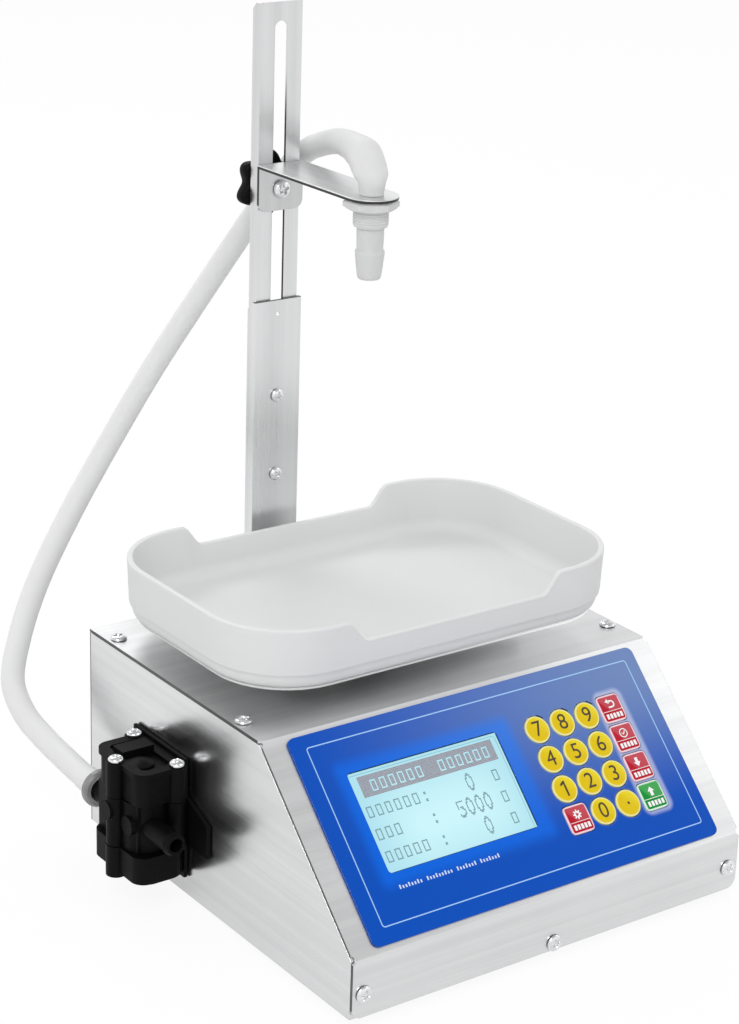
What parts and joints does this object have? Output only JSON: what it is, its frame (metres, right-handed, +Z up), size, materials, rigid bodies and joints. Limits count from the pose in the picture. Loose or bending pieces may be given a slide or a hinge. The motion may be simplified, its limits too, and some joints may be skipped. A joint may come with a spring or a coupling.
{
  "type": "liquid filling machine",
  "caption": "Countertop filling machine with keypad, display, weighing tray, slotted column and a side pump feeding a height-adjustable nozzle through a flexible hose.",
  "frame": {"origin": "centre of the flat underside of the case, above its rubber feet", "axes": "+X to the machine's right seen from the front, +Y to its back, +Z up"},
  "size_m": [0.2296, 0.2784, 0.3555],
  "materials": {
    "brushed_steel": "satin, fine brushing",
    "zinc": "bright zinc plating",
    "black_rubber": "matte",
    "blue_film": "glossy printed film",
    "yellow_key": "glossy printed film",
    "red_key": "glossy printed film",
    "green_key": "glossy printed film",
    "lit_display": "glossy, back-lit",
    "circuit_board": "solder-masked",
    "aluminium": "milled",
    "milky_plastic": "translucent, satin",
    "nylon": "translucent, satin",
    "clear_hose": "milky translucent, flexible",
    "smoky_plastic": "smoky translucent",
    "black_plastic": "fine matte"
  },
  "bodies": {
    "machine": {"chassis": "brushed_steel", "top_cover": "brushed_steel", "tray_platform": "brushed_steel", "column_sleeve": "brushed_steel", "column_bar": "brushed_steel", "cover_screw_back_left": "zinc", "cover_screw_back_right": "zinc", "cover_screw_front_left": "zinc", "cover_screw_front_right": "zinc", "lip_screw_left": "zinc", "lip_screw_middle": "zinc", "lip_screw_right": "zinc", "sleeve_screw_lower": "zinc", "sleeve_screw_upper": "zinc", "pump_screw_back": "zinc", "pump_screw_front": "zinc", "pump_screw_outer": "zinc", "pump_motor": "zinc", "foot_front_left": "black_rubber", "foot_front_right": "black_rubber", "foot_back_left": "black_rubber", "foot_back_right": "black_rubber", "keypad_overlay": "blue_film", "lcd_module": "lit_display", "control_board": "circuit_board", "load_cell": "aluminium", "load_cell_block": "aluminium", "column_spacer": "aluminium", "hose": "clear_hose", "outlet_collar": "smoky_plastic", "pump_plate": "black_plastic", "pump_cup": "black_plastic", "pump_body": "black_plastic", "pump_head": "black_plastic", "power_inlet": "black_plastic", "power_switch": "black_plastic"},
    "nozzle_carriage": {"nozzle_bracket": "brushed_steel", "clamp_screw": "zinc", "nozzle": "nylon"},
    "knob": {"clamp_knob": "black_plastic"},
    "tray": {"weigh_tray": "milky_plastic"},
    "pump_crank": {"pump_shaft": "zinc"},
    "rocker": {"switch_rocker": "black_plastic"},
    "key_7_cap": {"key_7": "yellow_key"},
    "key_8_cap": {"key_8": "yellow_key"},
    "key_9_cap": {"key_9": "yellow_key"},
    "key_4_cap": {"key_4": "yellow_key"},
    "key_5_cap": {"key_5": "yellow_key"},
    "key_6_cap": {"key_6": "yellow_key"},
    "key_1_cap": {"key_1": "yellow_key"},
    "key_2_cap": {"key_2": "yellow_key"},
    "key_3_cap": {"key_3": "yellow_key"},
    "key_0_cap": {"key_0": "yellow_key"},
    "key_point_cap": {"key_point": "yellow_key"},
    "key_clear_cap": {"key_clear": "red_key"},
    "key_set_cap": {"key_set": "red_key"},
    "key_menu_cap": {"key_menu": "red_key"},
    "key_mode_cap": {"key_mode": "red_key"},
    "key_start_cap": {"key_start": "green_key"}
  },
  "joints": [
    {"name": "nozzle_slide", "type": "slide", "parent": "machine", "child": "nozzle_carriage", "axis": [0, 0, 1], "range_m": [-0.037, 0.064], "deforming": ["hose"]},
    {"name": "knob_turn", "type": "hinge", "parent": "nozzle_carriage", "child": "knob", "pos_m": [0, 0.119, 0.2719], "axis": [0, 1, 0], "range_deg": [0, 360]},
    {"name": "tray_lift", "type": "slide", "parent": "machine", "child": "tray", "axis": [0, 0, 1], "range_m": [0, 0.04]},
    {"name": "pump_shaft_turn", "type": "hinge", "parent": "machine", "child": "pump_crank", "pos_m": [-0.11, 0.0351, 0.0185], "axis": [1, 0, 0], "continuous": true},
    {"name": "rocker_tilt", "type": "hinge", "parent": "machine", "child": "rocker", "pos_m": [-0.058, 0.1003, 0.032], "axis": [1, 0, 0], "range_deg": [0, 16]},
    {"name": "key_7_press", "type": "slide", "parent": "machine", "child": "key_7_cap", "axis": [0, 0.699, -0.7151], "range_m": [0, 0.0005], "stiffness_N_per_m": 1500},
    {"name": "key_8_press", "type": "slide", "parent": "machine", "child": "key_8_cap", "axis": [0, 0.699, -0.7151], "range_m": [0, 0.0005], "stiffness_N_per_m": 1500},
    {"name": "key_9_press", "type": "slide", "parent": "machine", "child": "key_9_cap", "axis": [0, 0.699, -0.7151], "range_m": [0, 0.0005], "stiffness_N_per_m": 1500},
    {"name": "key_4_press", "type": "slide", "parent": "machine", "child": "key_4_cap", "axis": [0, 0.699, -0.7151], "range_m": [0, 0.0005], "stiffness_N_per_m": 1500},
    {"name": "key_5_press", "type": "slide", "parent": "machine", "child": "key_5_cap", "axis": [0, 0.699, -0.7151], "range_m": [0, 0.0005], "stiffness_N_per_m": 1500},
    {"name": "key_6_press", "type": "slide", "parent": "machine", "child": "key_6_cap", "axis": [0, 0.699, -0.7151], "range_m": [0, 0.0005], "stiffness_N_per_m": 1500},
    {"name": "key_1_press", "type": "slide", "parent": "machine", "child": "key_1_cap", "axis": [0, 0.699, -0.7151], "range_m": [0, 0.0005], "stiffness_N_per_m": 1500},
    {"name": "key_2_press", "type": "slide", "parent": "machine", "child": "key_2_cap", "axis": [0, 0.699, -0.7151], "range_m": [0, 0.0005], "stiffness_N_per_m": 1500},
    {"name": "key_3_press", "type": "slide", "parent": "machine", "child": "key_3_cap", "axis": [0, 0.699, -0.7151], "range_m": [0, 0.0005], "stiffness_N_per_m": 1500},
    {"name": "key_0_press", "type": "slide", "parent": "machine", "child": "key_0_cap", "axis": [0, 0.699, -0.7151], "range_m": [0, 0.0005], "stiffness_N_per_m": 1500},
    {"name": "key_point_press", "type": "slide", "parent": "machine", "child": "key_point_cap", "axis": [0, 0.699, -0.7151], "range_m": [0, 0.0005], "stiffness_N_per_m": 1500},
    {"name": "key_clear_press", "type": "slide", "parent": "machine", "child": "key_clear_cap", "axis": [0, 0.699, -0.7151], "range_m": [0, 0.0005], "stiffness_N_per_m": 1500},
    {"name": "key_set_press", "type": "slide", "parent": "machine", "child": "key_set_cap", "axis": [0, 0.699, -0.7151], "range_m": [0, 0.0005], "stiffness_N_per_m": 1500},
    {"name": "key_menu_press", "type": "slide", "parent": "machine", "child": "key_menu_cap", "axis": [0, 0.699, -0.7151], "range_m": [0, 0.0005], "stiffness_N_per_m": 1500},
    {"name": "key_mode_press", "type": "slide", "parent": "machine", "child": "key_mode_cap", "axis": [0, 0.699, -0.7151], "range_m": [0, 0.0005], "stiffness_N_per_m": 1500},
    {"name": "key_start_press", "type": "slide", "parent": "machine", "child": "key_start_cap", "axis": [0, 0.699, -0.7151], "range_m": [0, 0.0005], "stiffness_N_per_m": 1500}
  ]
}
